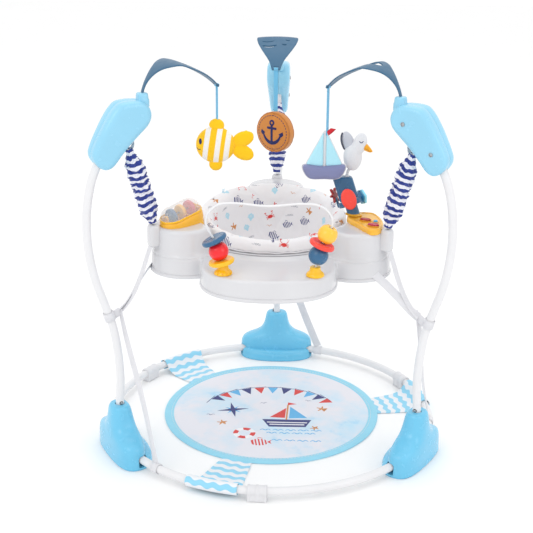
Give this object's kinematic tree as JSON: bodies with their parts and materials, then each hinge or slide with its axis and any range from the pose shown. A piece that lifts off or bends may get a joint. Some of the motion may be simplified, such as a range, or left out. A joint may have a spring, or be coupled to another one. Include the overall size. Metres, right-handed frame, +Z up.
{
  "type": "activity jumper",
  "caption": "Three-legged bouncing baby jumper with a sprung toy tray, swivelling fabric seat, hanging plush toys, bead arch and a padded play mat inside its base ring.",
  "frame": {"origin": "centre of the base ring, on the floor, which is also a point of the play mat's underside", "axes": "+Z up, the child faces -Y, +X to the right as seen from the front"},
  "size_m": [0.8049, 0.8667, 0.9075],
  "materials": {
    "frame_tube": "satin light-grey powder coat",
    "spring_steel": "bright steel wire",
    "joiner_grey": "fine moulded grain",
    "boot_blue": "moulded sky-blue plastic",
    "housing_blue": "moulded pale-blue plastic",
    "arm_blue": "moulded steel-blue plastic",
    "tray_white": "glossy white moulding",
    "toy_yellow": "glossy yellow",
    "toy_red": "glossy red",
    "toy_coral": "glossy coral",
    "toy_blue": "glossy steel blue",
    "toy_amber": "glossy amber",
    "toy_pink": "glossy pink",
    "button_dark_red": "glossy dark red",
    "button_magenta": "glossy magenta",
    "dome_clear": "clear moulding",
    "sleeve_stripe": "gathered navy and white striped knit",
    "webbing": "woven white webbing",
    "seat_fabric": "printed off-white cloth",
    "mat_fabric": "printed padded cloth",
    "plush_white": "short white pile",
    "plush_yellow": "short yellow pile",
    "plush_tan": "tan woven cloth",
    "plush_blue": "pale-blue and lavender cloth"
  },
  "bodies": {
    "frame": {"base_tube_1": "frame_tube", "joiner_1": "joiner_grey", "base_tube_2": "frame_tube", "joiner_2": "joiner_grey", "base_tube_3": "frame_tube", "joiner_3": "joiner_grey", "foot_left": "boot_blue", "leg_left": "frame_tube", "housing_left_a": "housing_blue", "housing_left_b": "housing_blue", "toy_arm_left": "arm_blue", "spring_left": "spring_steel", "spring_sleeve_left": "sleeve_stripe", "strap_left": "webbing", "foot_right": "boot_blue", "leg_right": "frame_tube", "housing_right_a": "housing_blue", "housing_right_b": "housing_blue", "toy_arm_right": "arm_blue", "spring_right": "spring_steel", "spring_sleeve_right": "sleeve_stripe", "strap_right": "webbing", "foot_rear": "boot_blue", "leg_rear": "frame_tube", "housing_rear_a": "housing_blue", "housing_rear_b": "housing_blue", "toy_arm_rear": "arm_blue", "spring_rear": "spring_steel", "spring_sleeve_rear": "sleeve_stripe", "strap_rear": "webbing", "play_mat": "mat_fabric"},
    "tray": {"tray_top": "tray_white", "tray_bottom": "tray_white", "bead_rail": "toy_yellow", "drum_base": "toy_yellow", "drum_dome": "dome_clear", "console": "toy_amber", "post": "toy_blue"},
    "seat": {"seat_ring": "tray_white", "seat_sling": "seat_fabric"},
    "bead_yellow_disc": {"bead_yellow_disc": "toy_yellow"},
    "bead_red_ball": {"bead_red_ball": "toy_red"},
    "bead_blue_disc": {"bead_blue_disc": "toy_blue"},
    "bead_blue_ball": {"bead_blue_ball": "toy_blue"},
    "bead_coral_disc": {"bead_coral_disc": "toy_coral"},
    "bead_yellow_ball": {"bead_yellow_ball": "toy_yellow"},
    "drum_disc_blue": {"drum_disc_blue": "toy_blue"},
    "drum_disc_amber": {"drum_disc_amber": "toy_amber"},
    "drum_disc_pink": {"drum_disc_pink": "toy_pink"},
    "paddle_wheel": {"paddle_wheel": "toy_coral"},
    "gull": {"gull": "plush_white"},
    "button_red": {"button_red": "button_dark_red"},
    "button_magenta": {"button_magenta": "button_magenta"},
    "button_blue": {"button_blue": "toy_blue"},
    "hanging_fish": {"hanging_fish": "plush_yellow"},
    "hanging_boat": {"hanging_boat": "plush_blue"},
    "hanging_anchor_pad": {"hanging_anchor_pad": "plush_tan"},
    "leg_button_left": {"leg_button_left": "spring_steel"},
    "leg_button_right": {"leg_button_right": "spring_steel"},
    "leg_button_rear": {"leg_button_rear": "spring_steel"}
  },
  "joints": [
    {"name": "tray_bounce", "type": "slide", "parent": "frame", "child": "tray", "axis": [0, 0, 1], "range_m": [-0.09, 0.01], "stiffness_N_per_m": 1500, "springref_m": 0.0175, "deforming": ["spring_left", "spring_sleeve_left", "strap_left", "spring_right", "spring_sleeve_right", "strap_right", "spring_rear", "spring_sleeve_rear", "strap_rear"]},
    {"name": "seat_swivel", "type": "hinge", "parent": "tray", "child": "seat", "pos_m": [0, 0, 0.49], "axis": [0, 0, 1], "continuous": true},
    {"name": "bead_yellow_disc_spin", "type": "hinge", "parent": "tray", "child": "bead_yellow_disc", "pos_m": [-0.09734, -0.275, 0.5075], "axis": [-0.1952, 0, 0.9808], "continuous": true},
    {"name": "bead_red_ball_spin", "type": "hinge", "parent": "tray", "child": "bead_red_ball", "pos_m": [-0.10336, -0.275, 0.531], "axis": [-0.2989, 0, 0.9543], "continuous": true},
    {"name": "bead_blue_disc_spin", "type": "hinge", "parent": "tray", "child": "bead_blue_disc", "pos_m": [-0.11248, -0.275, 0.556], "axis": [-0.4436, 0, 0.8962], "continuous": true},
    {"name": "bead_blue_ball_spin", "type": "hinge", "parent": "tray", "child": "bead_blue_ball", "pos_m": [0.10799, -0.275, 0.526], "axis": [0.2358, 0, 0.9718], "continuous": true},
    {"name": "bead_coral_disc_spin", "type": "hinge", "parent": "tray", "child": "bead_coral_disc", "pos_m": [0.115, -0.275, 0.55], "axis": [0.359, 0, 0.9333], "continuous": true},
    {"name": "bead_yellow_ball_spin", "type": "hinge", "parent": "tray", "child": "bead_yellow_ball", "pos_m": [0.12615, -0.275, 0.573], "axis": [0.4944, 0, 0.8692], "continuous": true},
    {"name": "drum_disc_blue_spin", "type": "hinge", "parent": "tray", "child": "drum_disc_blue", "pos_m": [-0.22068, -0.13146, 0.5619], "axis": [0.6513, 0.7387, 0.1736], "continuous": true},
    {"name": "drum_disc_amber_spin", "type": "hinge", "parent": "tray", "child": "drum_disc_amber", "pos_m": [-0.2031, -0.11152, 0.56659], "axis": [0.6513, 0.7387, 0.1736], "continuous": true},
    {"name": "drum_disc_pink_spin", "type": "hinge", "parent": "tray", "child": "drum_disc_pink", "pos_m": [-0.18552, -0.09157, 0.57128], "axis": [0.6513, 0.7387, 0.1736], "continuous": true},
    {"name": "paddle_wheel_turn", "type": "hinge", "parent": "tray", "child": "paddle_wheel", "pos_m": [0.1784, -0.05128, 0.57961], "axis": [-0.3201, 0.2241, 0.9205], "range_deg": [-40, 40]},
    {"name": "gull_rock", "type": "hinge", "parent": "tray", "child": "gull", "pos_m": [0.17, -0.037, 0.635], "axis": [0, 1, 0], "range_deg": [-15, 15], "stiffness_Nm_per_rad": 0.25},
    {"name": "button_red_press", "type": "slide", "parent": "tray", "child": "button_red", "axis": [0, 0, 1], "range_m": [-0.0025, 0], "stiffness_N_per_m": 300},
    {"name": "button_magenta_press", "type": "slide", "parent": "tray", "child": "button_magenta", "axis": [0, 0, 1], "range_m": [-0.0025, 0], "stiffness_N_per_m": 300},
    {"name": "button_blue_press", "type": "slide", "parent": "tray", "child": "button_blue", "axis": [0, 0, 1], "range_m": [-0.0025, 0], "stiffness_N_per_m": 300},
    {"name": "fish_swing", "type": "hinge", "parent": "frame", "child": "hanging_fish", "pos_m": [-0.1225, -0.07073, 0.84637], "axis": [-0.5, 0.866, 0], "range_deg": [-15, 35]},
    {"name": "boat_swing", "type": "hinge", "parent": "frame", "child": "hanging_boat", "pos_m": [0.1225, -0.07073, 0.84637], "axis": [-0.5, -0.866, 0], "range_deg": [-15, 35]},
    {"name": "anchor_pad_swing", "type": "hinge", "parent": "frame", "child": "hanging_anchor_pad", "pos_m": [0, 0.14145, 0.84637], "axis": [1, 0, 0], "range_deg": [-15, 35]},
    {"name": "leg_button_left_press", "type": "slide", "parent": "frame", "child": "leg_button_left", "axis": [0.5, -0.866, 0], "range_m": [-0.0035, 0], "stiffness_N_per_m": 500},
    {"name": "leg_button_right_press", "type": "slide", "parent": "frame", "child": "leg_button_right", "axis": [-0.5, -0.866, 0], "range_m": [-0.0035, 0], "stiffness_N_per_m": 500},
    {"name": "leg_button_rear_press", "type": "slide", "parent": "frame", "child": "leg_button_rear", "axis": [-1, 0, 0], "range_m": [-0.0035, 0], "stiffness_N_per_m": 500}
  ]
}
